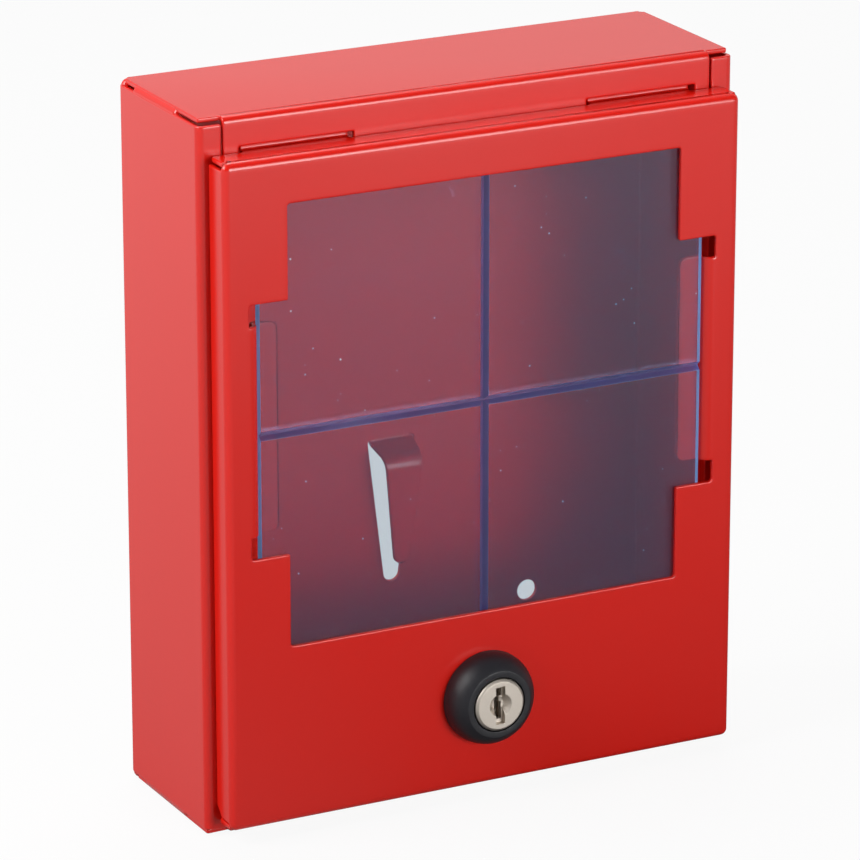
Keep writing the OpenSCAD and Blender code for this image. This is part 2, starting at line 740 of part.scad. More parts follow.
// Cranked cam, pointing along X when the lock is open
module cam() color(steel) from_bottom() translate([0, 0, lock_up]) {
    base_mid = cam_y + cam_t / 2;
    tip_mid = cam_tip_y + cam_t / 2;
    difference() {
        intersection() {
            translate([0, 0, -cam_w / 2]) linear_extrude(cam_w)
                folded([[-cam_w, base_mid], [crank_r, base_mid], [crank_r, tip_mid], [cam_l, tip_mid]],
                    [crank_fold, crank_fold], cam_t);
            between_y(cam_tip_y - past, cam_back_y + past) {
                circle(cam_w / 2);
                translate([0, -cam_w / 2]) square([cam_l - cam_corner_r, cam_w]);
                round_rect([0, -cam_w / 2], [cam_l, cam_w / 2], cam_corner_r);
            }
        }
        between_y(cam_y - past, cam_back_y + past) tail_hole();
    }
}

module cam_washer() color(steel) on_lock(cam_back_y) linear_extrude(cam_washer_t) difference() {
    circle(cam_washer_r);
    circle(screw_r + washer_bore_gap);
    translate([0, -washer_split / 2]) square([cam_washer_r + past, washer_split]);
}

module cam_screw() color(steel) difference() {
    head_seat = cam_back_y + cam_washer_t;
    union() {
        on_lock(head_seat) cylinder(h = screw_head_h, r = screw_head_r);
        on_lock(tail_back_y - screw_l) cylinder(h = head_seat - tail_back_y + screw_l + join, r = screw_r);
    }
    on_lock(head_seat + screw_head_h - cross_depth) for (a = [0, 90])
        rotate(a) translate([-cross_l / 2, -cross_w / 2, 0]) cube([cross_l, cross_w, cross_depth + past]);
}

case_shell();
door();
breakable_pane();
lock_rosette();
lock_housing();
lock_core();
wafer(1);  // wafer_1
wafer(2);  // wafer_2
wafer(3);  // wafer_3
wafer(4);  // wafer_4
wafer(5);  // wafer_5
wafer_spring(1);  // wafer_spring_1
wafer_spring(2);  // wafer_spring_2
wafer_spring(3);  // wafer_spring_3
wafer_spring(4);  // wafer_spring_4
wafer_spring(5);  // wafer_spring_5
core_clip();
tooth_washer();
lock_nut();
stop_disc();
cam();
cam_washer();
cam_screw();
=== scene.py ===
# %% [markdown]
# # A break glass key box
# The object is a small steel wall box, folded from one millimetre sheet and powder coated red.
# Its lift-up door holds a scored clear pane and a small cam lock, and a hook for the key is bent out of
# its back.
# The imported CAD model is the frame: it says where everything is, and this script makes the looks around it.

# %% Load the frame and keep its box
import json
import math

import bmesh
import bpy
import numpy as np
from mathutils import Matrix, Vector
from mathutils.geometry import tessellate_polygon

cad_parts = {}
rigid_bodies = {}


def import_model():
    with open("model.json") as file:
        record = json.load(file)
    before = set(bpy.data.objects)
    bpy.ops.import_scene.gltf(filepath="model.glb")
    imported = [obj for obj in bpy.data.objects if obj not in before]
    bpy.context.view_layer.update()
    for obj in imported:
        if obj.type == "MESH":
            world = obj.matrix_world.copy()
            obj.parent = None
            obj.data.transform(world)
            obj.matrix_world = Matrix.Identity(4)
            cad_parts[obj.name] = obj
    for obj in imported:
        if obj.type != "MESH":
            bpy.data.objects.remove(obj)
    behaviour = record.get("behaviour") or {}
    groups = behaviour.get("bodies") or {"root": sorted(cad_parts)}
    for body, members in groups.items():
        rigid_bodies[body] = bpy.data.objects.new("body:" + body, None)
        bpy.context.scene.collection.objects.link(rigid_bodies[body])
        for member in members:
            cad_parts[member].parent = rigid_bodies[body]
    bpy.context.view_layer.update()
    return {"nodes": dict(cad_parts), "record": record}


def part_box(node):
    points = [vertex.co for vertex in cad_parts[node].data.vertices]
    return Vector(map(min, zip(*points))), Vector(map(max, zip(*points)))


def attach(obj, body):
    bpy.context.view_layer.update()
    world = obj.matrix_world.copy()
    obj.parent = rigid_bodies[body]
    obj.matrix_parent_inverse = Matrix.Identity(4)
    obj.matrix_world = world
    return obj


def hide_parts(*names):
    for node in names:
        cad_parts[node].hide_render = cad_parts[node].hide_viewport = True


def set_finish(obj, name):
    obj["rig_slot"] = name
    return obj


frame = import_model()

nodes = frame["nodes"]

# %% [markdown]
# ## Units
# A sheet metal worker thinks in millimetres and measures heights from the bottom of the box, so the
# pieces are worked out that way.
# One function then carries a finished array of points into the frame, which is in metres with its origin
# at the middle of the back.

# %% Millimetres into the frame
MM = 0.001
case_low, case_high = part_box("case_shell")
box_h = (case_high.z - case_low.z) / MM
box_half = case_high.x / MM
box_d = -case_low.y / MM


def into_frame(points):
    """Millimetres to metres: each point is lowered by half the box's height, then times a thousandth."""
    return (np.asarray(points, float) - [0, 0, box_h / 2]) * MM


def box_mm(node):
    """Lowest and highest corner of a CAD node in the same millimetres as the pieces."""
    low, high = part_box(node)
    return np.array(low) / MM + [0, 0, box_h / 2], np.array(high) / MM + [0, 0, box_h / 2]


print("case: %.1f wide, %.1f deep, %.1f high" % (2 * box_half, box_d, box_h))

# %% [markdown]
# ## Folded sheet
# A press brake bends flat sheet along straight lines, so a folded part is a few flat panels joined by
# rolled strips.
# Bending a cube in edit mode would do for one part, but here the panels and strips are computed as a
# sheet without thickness.
# Solidify then gives the sheet its gauge, and Bevel rounds the cut edges as a thick coat of paint does.

# %% Middle line of a fold
def folded_line(corners, radii, steps=8):
    """Straight legs between the corners, with an arc at each inner corner whose radius isn't 0.

    The arc starts radius * tan(half the turn) before its corner.
    Its centre lies one radius to the inner side.
    """
    corners = np.asarray(corners, float)
    parts = [corners[:1]]
    for before, corner, after, radius in zip(corners[:-2], corners[1:-1], corners[2:], radii):
        if radius == 0:
            parts.append(corner[None])
            continue
        a = (corner - before) / np.linalg.norm(corner - before)
        b = (after - corner) / np.linalg.norm(after - corner)
        turn = math.atan2(a[0] * b[1] - a[1] * b[0], a @ b)
        inner = np.array([-a[1], a[0]]) * np.sign(turn)
        start = corner - a * radius * math.tan(abs(turn) / 2)
        angle = np.linspace(0, abs(turn), steps + 1)[:, None]
        parts.append(start + inner * radius * (1 - np.cos(angle)) + a * radius * np.sin(angle))
    parts.append(corners[-1:])
    line = np.vstack(parts)
    apart = np.linalg.norm(np.diff(line, axis=0), axis=1) > 1e-6
    return line[np.r_[True, apart]]


# %% Grids of points and their faces
def grid(points):
    """An n x m sheet of points as vertices and square faces."""
    n, m = points.shape[:2]
    k = np.arange(n * m).reshape(n, m)
    faces = np.stack([k[:-1, :-1], k[1:, :-1], k[1:, 1:], k[:-1, 1:]], -1)
    return points.reshape(-1, 3), faces.reshape(-1, 4).tolist()


def carried_x(line, x):
    """A line in Y and Z carried along X. The X values may differ from point to point of the line."""
    x = np.broadcast_to(x, (len(line), np.shape(x)[-1]))
    y, z = (np.broadcast_to(line[:, k, None], x.shape) for k in (0, 1))
    return grid(np.dstack([x, y, z]))


def carried_z(line, z):
    """A line in X and Y carried along Z. The heights may differ from point to point of the line."""
    z = np.broadcast_to(z, (len(line), np.shape(z)[-1]))
    x, y = (np.broadcast_to(line[:, k, None], z.shape) for k in (0, 1))
    return grid(np.dstack([x, y, z]))


def flipped(patch, axis, about=0.0):
    """The mirror image of a patch: on one axis each value becomes twice the mirror's place less itself."""
    points = patch[0].copy()
    points[:, axis] = 2 * about - points[:, axis]
    return points, patch[1]


# %% [markdown]
# ## Flat panels with holes
# A panel is an outline with holes. Each outline gets a second loop just inside the metal, so the rounded
# edge has even faces to roll into.
# What is left is flat, and a flat region may be filled with triangles of any shape without showing.
# The outline runs anticlockwise and the holes run clockwise, so the metal is always on the left of the
# line.

# %% Panel from outlines
edge = 0.6


def inset(loop, margin):
    """Each side of a closed loop moved to its left by the margin, with mitred corners.

    A corner between sides with normals n and p moves by margin * (n + p) / (1 + n.p).
    """
    along = np.roll(loop, -1, 0) - loop
    along /= np.linalg.norm(along, axis=1)[:, None]
    normal = np.c_[-along[:, 1], along[:, 0]]
    arriving = np.roll(normal, 1, 0)
    return loop + margin * (normal + arriving) / (1 + (normal * arriving).sum(1))[:, None]


def lifted(flat, axis, at):
    """Flat points in the plane where the axis has the value at. The other two axes keep their order."""
    return np.insert(flat, axis, at, axis=1)


def panel(outline, holes, axis, at):
    """Flat panel: a ring of squares inside every loop, as wide as the edge, and triangles over the rest."""
    loops = [np.asarray(loop, float) for loop in [outline, *holes]]
    inner = [inset(loop, edge) for loop in loops]
    starts = np.cumsum([0] + [len(loop) for loop in loops])
    total = starts[-1]
    faces = []
    for start, loop in zip(starts, loops):
        a = np.arange(len(loop)) + start
        b = np.roll(np.arange(len(loop)), -1) + start
        faces += np.stack([a, b, b + total, a + total], -1).tolist()
    filled = tessellate_polygon([[Vector((*p, 0)) for p in loop] for loop in inner])
    faces += [[k + total for k in triangle] for triangle in filled]
    return lifted(np.vstack(loops + inner), axis, at), faces


def rounded(corners, radius, steps=6):
    """A closed loop whose corners are arcs. It starts half way along its first side."""
    corners = np.asarray(corners, float)
    start = (corners[0] + corners[1]) / 2
    path = np.vstack([start, corners[1:], corners[:1], start])
    return folded_line(path, [radius] * len(corners), steps)[:-1]


def circle(centre, radius, count=32):
    """Points round a circle, clockwise, as a hole needs them."""
    angle = -2 * np.pi * np.arange(count) / count
    return np.c_[centre[0] + radius * np.cos(angle), centre[1] + radius * np.sin(angle)]


# %% Object from patches
gauge, fold = 1.0, 1.1


def new_object(name, patches, body, slot, replaces=()):
    """One mesh object from patches in millimetres. Equal points are merged, and faces turned one way."""
    counts = np.cumsum([0] + [len(p) for p, _ in patches])
    faces = [[k + start for k in f] for (_, fs), start in zip(patches, counts) for f in fs]
    mesh = bpy.data.meshes.new(name)
    mesh.from_pydata(into_frame(np.vstack([p for p, _ in patches])), [], faces)
    bm = bmesh.new()
    bm.from_mesh(mesh)
    bmesh.ops.remove_doubles(bm, verts=bm.verts, dist=2e-6)
    bmesh.ops.dissolve_degenerate(bm, dist=2e-6, edges=bm.edges)
    bmesh.ops.recalc_face_normals(bm, faces=bm.faces)
    bm.to_mesh(mesh)
    bm.free()
    mesh.shade_smooth()
    obj = bpy.data.objects.new(name, mesh)
    bpy.context.scene.collection.objects.link(obj)
    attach(obj, body)
    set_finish(obj, slot)
    if replaces:
        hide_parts(*replaces)
    return obj


def finish_edges(obj, radius, segments=3, angle=35):
    """Rounds every edge sharper than the angle, and large flat faces set the normals at their borders."""
    bevel = obj.modifiers.new("rounded edges", "BEVEL")
    bevel.width, bevel.segments = radius * MM, segments
    bevel.limit_method, bevel.angle_limit = "ANGLE", math.radians(angle)
    bevel.use_clamp_overlap = False
    bevel.miter_outer = "MITER_ARC"
    normals = obj.modifiers.new("flat faces lead", "WEIGHTED_NORMAL")
    normals.keep_sharp = False
    return obj


def sheet_part(name, patches, body, slot, replaces, rounding=0.28):
    """A folded sheet: the patches are its middle surface, and half the gauge goes to each side."""
    obj = new_object(name, patches, body, slot, replaces)
    solid = obj.modifiers.new("gauge", "SOLIDIFY")
    solid.thickness, solid.offset = gauge * MM, 0
    solid.use_even_offset = True
    finish_edges(obj, rounding)
    depsgraph = bpy.context.evaluated_depsgraph_get()
    print(name, "faces:", len(obj.evaluated_get(depsgraph).data.polygons))
    return obj


# %% [markdown]
# ## The case
# The blank is a cross: back, two sides, top and bottom, each ending in a narrow lip at the front.
# The side walls carry their folds, and the top and bottom panels close over them and stop short of the
# side faces.
# The top lip has the two slots that the door hangs in, and the back has the slot that the hook leaves
# behind.

# %% Middle planes of the case
side = box_half - gauge / 2
front = -(box_d - gauge / 2)
back = -gauge / 2
roof = box_h - gauge / 2
wall_short, roof_short = 1.35, 0.7
wall_top = box_h - wall_short
side_lip, lip_gap, bottom_lip, top_lip = 5.1, 0.4, 10.0, 11.67
lip_in = box_half - side_lip
cross_half = lip_in - lip_gap
flat_half = side - fold


def both_ends(low, high):
    """Two ends with a line just inside each, where a panel has its ring of squares."""
    return np.array([low, low + edge, high - edge, high])


# %% Key hook
hook_root, hook_tip = 64.2, 39.0
hook_wide, hook_narrow, kerf = 5.0, 1.85, 0.35
hook_y, hook_tip_y = -7.0, -5.3
hook_top, knee_drop, knee_fold = hook_root + gauge / 2, 2.3, 3.0
knee_z = hook_top - knee_drop
hook_start = hook_top + fold * math.tan(math.atan2(back - hook_y, knee_drop) / 2)
straight_end = hook_tip + hook_narrow
lean = (hook_tip_y - hook_y) / (knee_z - hook_tip)
straight_end_y = hook_y + lean * (knee_z - straight_end)
hook_corners = [(back, hook_start), (back, hook_top), (hook_y, knee_z), (straight_end_y, straight_end)]
hook_line = folded_line(hook_corners, [fold, knee_fold], 12)
hook_run = np.r_[0, np.cumsum(np.linalg.norm(np.diff(hook_line, axis=0), axis=1))]
# Half the hook's width at four distances along it, with an even taper from each to the next
width_places, half_widths = [0, 1.5, 8.3, hook_run[-1]], [hook_wide, 4.95, 4.19, hook_narrow]
hook_half = np.interp(hook_run, width_places, half_widths)
tip_angle = np.linspace(0, np.pi / 2, 9)[1:]
tip_z = hook_tip + hook_narrow * (1 - np.sin(tip_angle))
hook_line = np.vstack([hook_line, np.c_[hook_y + lean * (knee_z - tip_z), tip_z]])
hook_half = np.r_[hook_half, hook_narrow * np.cos(tip_angle)]
across = np.array([-1, -0.75, 0.75, 1])
hook = carried_x(hook_line, hook_half[:, None] * across)

slot_length = 30.6
slot_low = hook_root - slot_length + hook_narrow
slot_angle = np.linspace(0, -np.pi, 13)
hook_slot = np.vstack([
    [(-hook_wide - kerf, hook_start - 2 * kerf)],
    np.c_[hook_wide * across, np.full(4, hook_start)],
    [(hook_wide + kerf, hook_start - 2 * kerf), (hook_wide + kerf, hook_root)],
    np.c_[hook_narrow * np.cos(slot_angle), slot_low + hook_narrow * np.sin(slot_angle)],
    [(-hook_wide - kerf, hook_root)],
])
print("hook: %d points along, slot down to %.1f mm" % (len(hook_line), hook_slot[:, 1].min()))

# %% Case panels and folds
wall_z = both_ends(box_h - wall_top, wall_top)
back_x = both_ends(-flat_half, flat_half)
lip_x = both_ends(-cross_half, cross_half)
screw_x, screw_z, screw_r = 32.5, 49.0, 2.25
wall_holes = [
    circle((right * screw_x, box_h / 2 + up * screw_z), screw_r) for right in (-1, 1) for up in (-1, 1)
]
back_outline = np.vstack([
    np.c_[back_x[:-1], np.full(3, wall_z[0])],
    np.c_[np.full(3, flat_half), wall_z[:-1]],
    np.c_[back_x[:0:-1], np.full(3, wall_z[-1])],
    np.c_[np.full(3, -flat_half), wall_z[:0:-1]],
])
case_patches = [panel(back_outline, [hook_slot, *wall_holes], 1, back), hook]

wall_line = folded_line(
    [(flat_half, back), (side, back), (side, front), (lip_in + edge, front), (lip_in, front)],
    [fold, fold, 0],
)
wall = carried_z(wall_line, wall_z)
case_patches += [wall, flipped(wall, 0)]

roof_half = box_half - roof_short
roof_fold = roof - wall_top
roof_back, roof_front = back - fold, front + fold
roof_outline = np.vstack([
    np.c_[lip_x, np.full(4, roof_front)],
    [(roof_half, roof_front), (roof_half, roof_back - edge)],
    np.c_[back_x[::-1], np.full(4, roof_back)],
    [(-roof_half, roof_back - edge), (-roof_half, roof_front)],
])
roof_patches = [
    carried_x(folded_line([(back, wall_top), (back, roof), (roof_back, roof)], [roof_fold]), back_x),
    panel(roof_outline, [], 2, roof),
    carried_x(folded_line([(roof_front, roof), (front, roof), (front, wall_top)], [roof_fold]), lip_x),
]


def lip_outline(low):
    """Front lip: its upper side meets the fold, and its lower side is a free edge."""
    free_edge = [(-cross_half, low), (cross_half, low)]
    return np.vstack([free_edge, np.c_[lip_x[::-1], np.full(4, wall_top)]])


slot_out, slot_in = 51.1, 26.1
slot_top, slot_floor, slot_corner = 143.7, 141.33, 0.3
hinge_slots = [
    rounded([(a, slot_floor), (a, slot_top), (b, slot_top), (b, slot_floor)], slot_corner)
    for a, b in ((-slot_out, -slot_in), (slot_in, slot_out))
]
case_patches += roof_patches + [panel(lip_outline(box_h - top_lip), hinge_slots, 1, front)]
bottom_patches = roof_patches + [panel(lip_outline(box_h - bottom_lip), [], 1, front)]
case_patches += [flipped(patch, 2, box_h / 2) for patch in bottom_patches]
case = sheet_part("case_sheet", case_patches, "case", "red_paint", ["case_shell"])

# %% [markdown]
# ## Corner welds
# Each upper and lower corner of the case is closed by two short runs of weld, ground off and painted over.
# A weld is a quarter round along the corner whose surface rises and falls a little from drop to drop.
# A profile carried along the corner gives that directly, where a plain quarter cylinder would look
# machined.

# %% Weld beads
def weld(start, end, seed, radius=1.55, centre=1.6, drop=1.1, rows=90):
    """Quarter round along Y, whose points lie at radius * (1 - ripple) from the corner's inner line.

    The ripple is an arch for each drop plus a slow drift, and each end narrows to half over one drop.
    """
    y = np.linspace(start, end, rows)
    angle = np.linspace(-0.35, np.pi / 2 + 0.35, 17)
    drift = np.random.default_rng(seed).normal(0, 1, len(y)).cumsum()
    arch = 1 - np.abs(np.sin(np.pi * (y - start) / drop + 0.1 * drift))
    ripple = 0.006 * arch + 0.0015 * (drift - drift.mean())
    taper = np.clip(np.minimum(y - start, end - y) / drop, 0, 1)
    reach = radius * (1 - ripple) * np.sqrt(1 - (1 - taper) ** 2 * 0.75)
    x = box_half - centre + reach[:, None] * np.cos(angle)
    z = box_h - centre + reach[:, None] * np.sin(angle)
    outer = np.dstack([x, np.broadcast_to(y[:, None], x.shape), z])
    middle_x, middle_z = (np.full((rows, 1), size - centre) for size in (box_half, box_h))
    middle = np.dstack([middle_x, y[:, None], middle_z])
    closed = np.concatenate([outer, middle, outer[:, :1]], axis=1)
    ends = [(closed[k, :-1], [list(range(closed.shape[1] - 1))]) for k in (0, -1)]
    return [grid(closed), *ends]


weld_runs = [(-2.8, -0.6), (-27.0, -6.5)]
weld_patches = []
for number, (start, end) in enumerate(weld_runs):
    for patch in weld(start, end, number):
        for either in (patch, flipped(patch, 0)):
            weld_patches += [either, flipped(either, 2, box_h / 2)]
welds = new_object("corner_welds", weld_patches, "case", "red_paint")
print("welds:", len(welds.data.polygons), "faces")

# %% [markdown]
# ## The door
# The door is a shallow tray: a front panel, a short return on every side, and two hooked tabs on the top
# return that hang in the case's slots.
# The window is one opening with two wings. In each wing a tongue of the door's own metal is folded back
# and in, and it holds the pane's edge.
# All of it is one blank, so the tabs and tongues grow out of the panel without a seam.

# %% Middle planes of the door
door_low, door_high = box_mm("door")
door_half = door_high[0]
door_front = door_low[1] + gauge / 2
door_gap = 0.12
door_back = -(box_d + door_gap)
door_bottom, door_top = door_low[2], 142.6
bend = 1.0
flat_x = door_half - gauge / 2 - bend
flat_low, flat_high = door_bottom + gauge / 2 + bend, door_top - gauge / 2 - bend
turn_y = door_front + bend
window_half, window_low, window_high = 44.1, 40.9, 133.0
window_mid = (window_low + window_high) / 2
wing_half, wing_reach, tongue_gap = 52.6, 26.45, 4.55
wing_low, wing_high = window_mid - wing_reach, window_mid + wing_reach
tongue_low, tongue_high = wing_low + tongue_gap, wing_high - tongue_gap
lock_z = 22.5
print("window: %.1f mm wide, %.1f mm high" % (2 * window_half, window_high - window_low))

# %% Window outline
tongue_z = both_ends(tongue_low, tongue_high)


def round_corner(corner, before, after, radius, steps=5):
    """The points of one rounded corner between the directions to two neighbours."""
    return folded_line([before, corner, after], [radius], steps)[1:-1]


def window_quarter(radius=0.7):
    """Upper right quarter of the window, clockwise: main opening, step, wing, and down to the tongue."""
    step = (window_half, wing_high)
    return np.vstack([
        round_corner((window_half, window_high), (0, window_high), step, radius),
        [step],
        round_corner((wing_half, wing_high), step, (wing_half, tongue_high), radius),
        np.c_[np.full(2, wing_half), tongue_z[:1:-1]],
    ])


quarter = window_quarter()
lower = quarter[::-1] * [1, -1] + [0, 2 * window_mid]
right_half = np.vstack([quarter, lower])
window = np.vstack([right_half, right_half[::-1] * [-1, 1]])

hole_r, hole_flat = 7.95, 6.95
lock_hole = circle((0, lock_z), hole_r, 48)
lock_hole[:, 0] = np.clip(lock_hole[:, 0], -hole_flat, hole_flat)

# %% Door panel, folds and returns
door_z = both_ends(flat_low, flat_high)
door_x = both_ends(-flat_x, flat_x)
door_outline = np.vstack([
    np.c_[door_x[:-1], np.full(3, flat_low)],
    np.c_[np.full(3, flat_x), door_z[:-1]],
    np.c_[door_x[:0:-1], np.full(3, flat_high)],
    np.c_[np.full(3, -flat_x), door_z[:0:-1]],
])
door_patches = [panel(door_outline, [window, lock_hole], 1, door_front)]

side_x, corner_cut = flat_x + bend, 2.3
side_places = [door_back - corner_cut, door_back - edge, door_back]
side_corners = [(flat_x, door_front), (side_x, door_front), *[(side_x, y) for y in side_places]]
side_line = folded_line(side_corners, [bend, 0, 0])
cut = np.clip(side_line[:, 1] - (door_back - corner_cut), 0, None) * (side_line[:, 0] > side_x - 1e-6)
share = (door_z - flat_low) / (flat_high - flat_low)
side_fold = carried_z(side_line, (flat_low + cut)[:, None] + share * (flat_high - flat_low - cut[:, None]))
door_patches += [side_fold, flipped(side_fold, 0)]

# %% Rounded front corners of the tray
a, b = np.meshgrid(np.linspace(0, np.pi / 2, 9), np.linspace(0, np.pi / 2, 9), indexing="ij")
octant = grid(np.dstack([
    flat_x + bend * np.sin(a) * np.cos(b),
    turn_y - bend * np.cos(a),
    flat_high + bend * np.sin(a) * np.sin(b),
]))
door_mid_z = (flat_low + flat_high) / 2
tray_corners = [octant, flipped(octant, 0)]
tray_corners += [flipped(patch, 2, door_mid_z) for patch in tray_corners]

# %% Top and bottom returns, with the hinge tabs
return_short, return_corner, tab_play = 0.35, 1.2, 0.8
return_half, return_z = door_half - return_short, flat_high + bend
end_line = folded_line([(door_front, flat_high), (door_front, return_z), (turn_y, return_z)], [bend])
right_tab = both_ends(slot_in + tab_play, slot_out - tab_play)
tab_x = [right_tab, -right_tab[::-1]]


def return_outline(tabs):
    """A return from above: its front side meets the fold, and its back may carry the tabs' roots."""
    front_side = [[(-return_half, turn_y)], np.c_[door_x, np.full(4, turn_y)], [(return_half, turn_y)]]
    left_end, right_end, middle = (-return_half, turn_y), (return_half, turn_y), (0, door_back)
    back_left = round_corner((-return_half, door_back), middle, left_end, return_corner)
    back_right = round_corner((return_half, door_back), right_end, middle, return_corner)
    roots = [np.c_[x[::-1], np.full(4, door_back)] for x in tab_x] if tabs else []
    return np.vstack([*front_side, back_right, *roots, back_left])


def end_patches(tabs):
    """Fold and return at the top of the door."""
    return [carried_x(end_line, door_x), panel(return_outline(tabs), [], 2, return_z)]


tab_gap, tab_top, tab_corner = 0.3, 147.0, 1.0
tab_y = front + gauge / 2 + tab_gap + gauge / 2
tab_places = [return_z, tab_top - 1.5 * tab_corner, tab_top - edge, tab_top]
tab_line = folded_line([(door_back, return_z), *[(tab_y, z) for z in tab_places]], [bend, 0, 0])
above = np.clip(tab_line[:, 1] - (tab_top - tab_corner), 0, tab_corner)
tab_in = tab_corner - np.sqrt(tab_corner**2 - above**2)
tab_mid, tab_half = tab_x[0].mean(), np.ptp(tab_x[0]) / 2
tab = carried_x(tab_line, tab_mid + (tab_x[0] - tab_mid) * (1 - tab_in[:, None] / tab_half))
door_patches += tray_corners + end_patches(True) + [tab, flipped(tab, 0)]
door_patches += [flipped(patch, 2, door_mid_z) for patch in end_patches(False)]

# %% Tongues
pane_low, pane_high = box_mm("breakable_pane")
side_play, pane_play, tongue_lap, tip_r = 0.3, 0.1, 4.5, 2.0
front_fold, rear_fold = 1.9, 0.7
tongue_wall, tongue_y = pane_high[0] + side_play + gauge / 2, pane_high[1] + pane_play + gauge / 2
tongue_tip = pane_high[0] - tongue_lap
tip_in = tongue_tip + tip_r * (1 - np.sin(np.linspace(0, np.pi / 2, 9)))
tongue_corners = [(wing_half, door_front), (tongue_wall, door_front), (tongue_wall, tongue_y)]
tongue_corners += [(x, tongue_y) for x in tip_in]
tongue_line = folded_line(tongue_corners, [front_fold, rear_fold] + [0] * (len(tip_in) - 1))
from_tip = np.clip(tongue_tip + tip_r - tongue_line[:, 0], 0, tip_r) * (tongue_line[:, 1] > tongue_y - 1e-6)
tongue_in = tip_r - np.sqrt(tip_r**2 - from_tip**2)
tongue_half = (tongue_high - tongue_low) / 2
tongue = carried_z(tongue_line, window_mid + (tongue_z - window_mid) * (1 - tongue_in[:, None] / tongue_half))
door_patches += [tongue, flipped(tongue, 0)]
door = sheet_part("door_sheet", door_patches, "door", "red_paint", ["door"])

# %% [markdown]
# ## The breakable pane
# The pane is a slab of clear acrylic with two V grooves cut across its front, so that one blow snaps it
# along a cross.
# Its front is a height field: the depth at a point is what is left of the groove's half width after the
# distance to the nearer groove line.
# The sawn edges and the milled groove walls are matt, so those faces get finishes of their own.

# %% Slab with two V grooves
groove = 0.95
pane_x, pane_z = pane_high[0], (pane_low[2], pane_high[2])
groove_z = sum(pane_z) / 2
near = np.linspace(-groove, groove, 13)
xs = np.r_[-pane_x, near, pane_x]
zs = np.r_[pane_z[0], near + groove_z, pane_z[1]]
gx, gz = np.meshgrid(xs, zs, indexing="ij")
depth = np.clip(groove - np.minimum(abs(gx), abs(gz - groove_z)), 0, None)
front_face = np.dstack([gx, pane_low[1] + depth, gz])
back_face = np.dstack([gx, np.full_like(gx, pane_high[1]), gz])
rims = [np.stack([front_face[k], back_face[k]]) for k in (0, -1)]
rims += [np.stack([front_face[:, k], back_face[:, k]]) for k in (0, -1)]
pane_patches = [grid(points) for points in [front_face, back_face, *rims]]
pane = new_object("window_pane", pane_patches, "door", "clear_acrylic", ["breakable_pane"])
mesh = pane.data
centres = np.zeros(len(mesh.polygons) * 3)
mesh.polygons.foreach_get("center", centres)
centres = centres.reshape(-1, 3) / MM + [0, 0, box_h / 2]
off_x, off_z = abs(centres[:, 0]), abs(centres[:, 2] - groove_z)
near_back, near_rim = 0.1, 0.01
in_groove = ((off_x < groove) | (off_z < groove)) & (centres[:, 1] < pane_high[1] - near_back)
on_rim = (off_x > pane_x - near_rim) | (off_z > (pane_z[1] - pane_z[0]) / 2 - near_rim)
pane_finish = np.where(on_rim, 2, np.where(in_groove, 1, 0))
finish_edges(pane, 0.12, 2, 50)
print("pane faces:", len(mesh.polygons), "matt:", int((pane_finish > 0).sum()))

# %% [markdown]
# ## The lock
# A cam lock is turned and die-cast: a domed plastic rosette, a plated core with its keyway, and a
# threaded barrel with two flats held by a nut.
# Everything round is a radius that depends on the angle and on the place along the axis, so one function
# of two parameters makes each.
# The stamped and cast parts whose CAD shape is right are copied, merged and given a small edge radius.

# %% Round parts about the lock's axis
def round_part(name, y, radius, body, slot, replaces, closed=False):
    """Surface of a round part: row k lies at y[k], and its points lie radius[k] from the axis.

    A closed part joins its last row to its first.
    """
    radius = np.atleast_2d(radius)
    angle = np.linspace(0, 2 * np.pi, radius.shape[1])
    x = radius * np.cos(angle)
    z = lock_z + radius * np.sin(angle)
    points = np.dstack([x, np.broadcast_to(np.asarray(y, float)[:, None], x.shape), z])
    if closed:
        points = np.concatenate([points, points[:1]])
    return new_object(name, [grid(points)], body, slot, replaces)


def turned_profile(corners, radii, turns=96):
    """A profile of radius and y with rounded corners, repeated at every angle."""
    line = folded_line(corners, radii, 5)
    return line[:, 1], np.repeat(line[:, :1], turns + 1, axis=1)


# %% Rosette
rose_low, rose_high = box_mm("lock_rosette")
rose_r, rose_y = rose_high[0], (rose_low[1], rose_high[1])
ring_r, bore_r, hollow_r, under_r = 7.15, 5.85, 8.45, 9.0
rim, bulge, roof_depth = 0.5, 0.8, 1.5
hollow_y = rose_y[0] + roof_depth
t = np.linspace(0, 1, 15)[1:-1, None]
foot, crown = np.array([rose_r, rose_y[1] - rim]), np.array([ring_r, rose_y[0]])
chord = (crown - foot) / np.linalg.norm(crown - foot)
dome = foot * (1 - t) + crown * t + np.array([-chord[1], chord[0]]) * 4 * bulge * t * (1 - t)
profile = [
    (under_r, rose_y[1]), (rose_r, rose_y[1]), tuple(foot), *map(tuple, dome), tuple(crown),
    (bore_r, rose_y[0]), (bore_r, hollow_y), (hollow_r, hollow_y), (hollow_r, rose_y[1]),
    (under_r, rose_y[1]),
]
rounds = [0.15, 0.2] + [0] * len(dome) + [0.35, 0.15, 0, 0, 0]
y, r = turned_profile(profile, rounds)
round_part("rosette_cap", y, r, "door", "black_plastic", ["lock_rosette"])
print("rosette radius %.2f, dome from %.2f to %.2f" % (r.max(), rose_y[0], rose_y[1]))

# %% Threaded barrel
head_low, head_high = box_mm("lock_housing")
thread_end, thread_start = head_high[1], door_low[1]
turns = 144
angle = np.linspace(0, 2 * np.pi, turns + 1)
inside_r, head_r, neck_r, end_r, flat_r = 5.6, 8.35, 7.4, 7.3, 6.85
thread_r, pitch, thread_depth = 7.85, 1.0, 0.45
notch_r, notch_depth, notch_half = 6.05, 0.95, math.radians(61)
y_thread = np.linspace(thread_start + pitch, thread_end - 0.4, 130)
